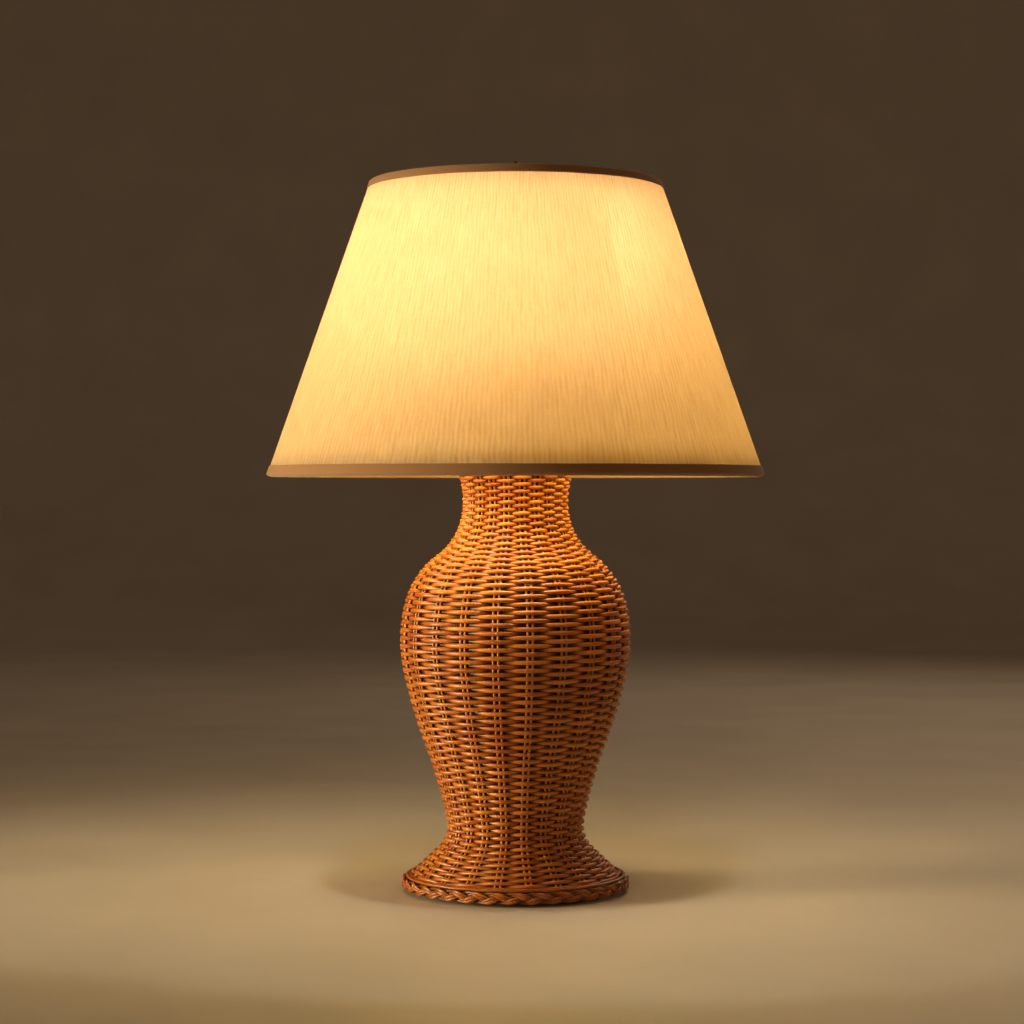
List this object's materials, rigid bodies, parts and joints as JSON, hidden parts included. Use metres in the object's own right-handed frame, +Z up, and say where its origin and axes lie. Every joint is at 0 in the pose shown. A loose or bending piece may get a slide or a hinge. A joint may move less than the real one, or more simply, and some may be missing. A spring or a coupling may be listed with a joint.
{
  "type": "table lamp",
  "caption": "Table lamp with a baluster body woven from cane, a braided foot and a cone shade of pale linen on a harp, with a screw-in bulb and a rotary switch.",
  "frame": {"origin": "centre of the felt pad's underside, on the surface that the lamp stands on", "axes": "+Z up along the lamp's axis, the harp in the X-Z plane, the switch knob towards -Y and the cord bushing towards +Y"},
  "size_m": [0.4056, 0.4055, 0.5944],
  "materials": {
    "green_felt": "short wool felt",
    "stained_wood": "stained, satin varnish",
    "cast_iron": "rough painted casting",
    "zinc_steel": "zinc plated",
    "black_bushing": "moulded",
    "braided_cane": "varnished reed, braided",
    "pale_cane": "varnished round reed",
    "varnished_cane": "varnished woven reed",
    "aged_brass": "satin, lightly aged",
    "liner_board": "pressed board",
    "phenolic": "moulded phenolic",
    "contact_brass": "bright",
    "knob_plastic": "moulded, fluted",
    "shade_wire": "off-white epoxy",
    "shade_lining": "translucent white styrene",
    "shade_linen": "slubbed linen, lit from inside",
    "shade_tape": "folded bias tape",
    "dark_bronze": "dark bronze",
    "solder_contact": "solder",
    "black_glass": "vitrified glass",
    "bulb_aluminium": "spun cap",
    "frosted_glass": "frosted inside, lit",
    "clear_glass": "clear",
    "tungsten": "drawn wire"
  },
  "bodies": {
    "lamp_body": {"base_felt": "green_felt", "base_plate": "stained_wood", "base_weight": "cast_iron", "weight_nut": "zinc_steel", "lamp_pipe": "zinc_steel", "pipe_washer": "zinc_steel", "pipe_nut": "zinc_steel", "cord_bushing": "black_bushing", "foot_border": "braided_cane", "stakes": "pale_cane", "weave_outer": "varnished_cane", "weave_inner": "varnished_cane", "neck_border": "varnished_cane", "neck_plug": "stained_wood", "vase_cap": "aged_brass", "neck_tube": "aged_brass", "harp_saddle": "aged_brass", "saddle_nut": "zinc_steel", "socket_cap": "aged_brass", "socket_set_screw": "zinc_steel", "socket_shell": "aged_brass", "socket_liner": "liner_board", "socket_body": "phenolic", "screw_shell": "contact_brass", "center_contact": "contact_brass", "terminal_screws": "contact_brass"},
    "switch": {"switch_shaft": "zinc_steel", "switch_knob": "knob_plastic"},
    "harp": {"harp_bow": "aged_brass", "harp_washer": "aged_brass", "harp_stud": "aged_brass"},
    "left_sleeve": {"sleeve_left": "aged_brass"},
    "right_sleeve": {"sleeve_right": "aged_brass"},
    "shade": {"shade_spider": "shade_wire", "shade_top_ring": "shade_wire", "shade_bottom_ring": "shade_wire", "shade_liner": "shade_lining", "shade_fabric": "shade_linen", "shade_trim_top": "shade_tape", "shade_trim_bottom": "shade_tape"},
    "finial_collar": {"finial_base": "dark_bronze"},
    "finial_top": {"finial_knob": "dark_bronze"},
    "bulb_base": {"bulb_contact": "solder_contact", "bulb_insulator": "black_glass", "bulb_cap": "bulb_aluminium"},
    "bulb_envelope": {"bulb_glass": "frosted_glass", "bulb_stem": "clear_glass", "bulb_filament": "tungsten"}
  },
  "joints": [
    {"name": "switch_turn", "type": "hinge", "parent": "lamp_body", "child": "switch", "pos_m": [0, -0.03, 0.4115], "axis": [0, -1, 0], "continuous": true},
    {"name": "harp_lift", "type": "slide", "parent": "lamp_body", "child": "harp", "axis": [0, 0, 1], "range_m": [0, 0.06]},
    {"name": "left_sleeve_lift", "type": "slide", "parent": "harp", "child": "left_sleeve", "axis": [0, 0, 1], "range_m": [0, 0.012]},
    {"name": "right_sleeve_lift", "type": "slide", "parent": "harp", "child": "right_sleeve", "axis": [0, 0, 1], "range_m": [0, 0.012]},
    {"name": "shade_turn", "type": "hinge", "parent": "harp", "child": "shade", "pos_m": [0, 0, 0.563], "axis": [0, 0, 1], "continuous": true},
    {"name": "finial_rise", "type": "slide", "parent": "harp", "child": "finial_collar", "axis": [0, 0, 1], "range_m": [0, 0.0066]},
    {"name": "finial_turn", "type": "hinge", "parent": "finial_collar", "child": "finial_top", "pos_m": [0, 0, 0.58], "axis": [0, 0, 1], "range_deg": [0, 2520]},
    {"name": "bulb_rise", "type": "slide", "parent": "lamp_body", "child": "bulb_base", "axis": [0, 0, 1], "range_m": [0, 0.0182]},
    {"name": "bulb_turn", "type": "hinge", "parent": "bulb_base", "child": "bulb_envelope", "pos_m": [0, 0, 0.499], "axis": [0, 0, 1], "range_deg": [0, 1800]}
  ],
  "couplings": [
    {"joint": "finial_rise", "follows": "finial_turn", "m_per_rad": 0.00014961},
    {"joint": "bulb_rise", "follows": "bulb_turn", "m_per_rad": 0.00057757}
  ]
}
